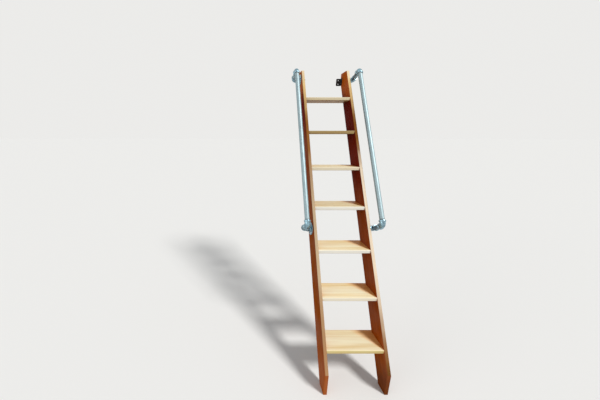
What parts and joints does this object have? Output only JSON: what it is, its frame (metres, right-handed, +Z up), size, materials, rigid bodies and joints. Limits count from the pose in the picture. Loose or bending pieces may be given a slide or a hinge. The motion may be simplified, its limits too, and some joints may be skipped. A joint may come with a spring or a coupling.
{
  "type": "loft ladder stair",
  "caption": "Steep wooden loft ladder stair: treads housed in raked stringers, galvanised pipe handrails on elbows and floor flanges, and steel angles that fasten it to the loft.",
  "frame": {"origin": "centre of the right angle bracket's back face, which lies flat on the loft's face; the floor is 2.05 m below it and the stair's middle is 0.161 m to the left", "axes": "+Z up, +Y into the loft, square to its face, +X to the right of a person climbing"},
  "size_m": [0.5664, 1.2344, 2.1227],
  "materials": {
    "tread_wood": "clear satin varnish on pale fir",
    "stringer_wood": "clear satin varnish on red-brown fir",
    "galvanised_pipe": "galvanised, slightly dulled",
    "galvanised_fitting": "galvanised malleable iron",
    "black_steel": "black powder coat"
  },
  "bodies": {
    "root": {"tread_1": "tread_wood", "tread_2": "tread_wood", "tread_3": "tread_wood", "tread_4": "tread_wood", "tread_5": "tread_wood", "tread_6": "tread_wood", "tread_7": "tread_wood", "stringer_left": "stringer_wood", "stringer_right": "stringer_wood", "angle_bracket_left": "black_steel", "angle_bracket_right": "black_steel", "handrail_left": "galvanised_pipe", "handrail_right": "galvanised_pipe", "reach_nipple_top_left": "galvanised_pipe", "reach_nipple_top_right": "galvanised_pipe", "reach_nipple_bottom_left": "galvanised_pipe", "reach_nipple_bottom_right": "galvanised_pipe", "wall_nipple_top_left": "galvanised_pipe", "wall_nipple_top_right": "galvanised_pipe", "wall_nipple_bottom_left": "galvanised_pipe", "wall_nipple_bottom_right": "galvanised_pipe", "rail_elbow_top_left": "galvanised_fitting", "rail_elbow_top_right": "galvanised_fitting", "rail_elbow_bottom_left": "galvanised_fitting", "rail_elbow_bottom_right": "galvanised_fitting", "wall_elbow_top_left": "galvanised_fitting", "wall_elbow_top_right": "galvanised_fitting", "wall_elbow_bottom_left": "galvanised_fitting", "wall_elbow_bottom_right": "galvanised_fitting", "flange_top_left": "galvanised_fitting", "flange_top_right": "galvanised_fitting", "flange_bottom_left": "galvanised_fitting", "flange_bottom_right": "galvanised_fitting"}
  },
  "joints": []
}
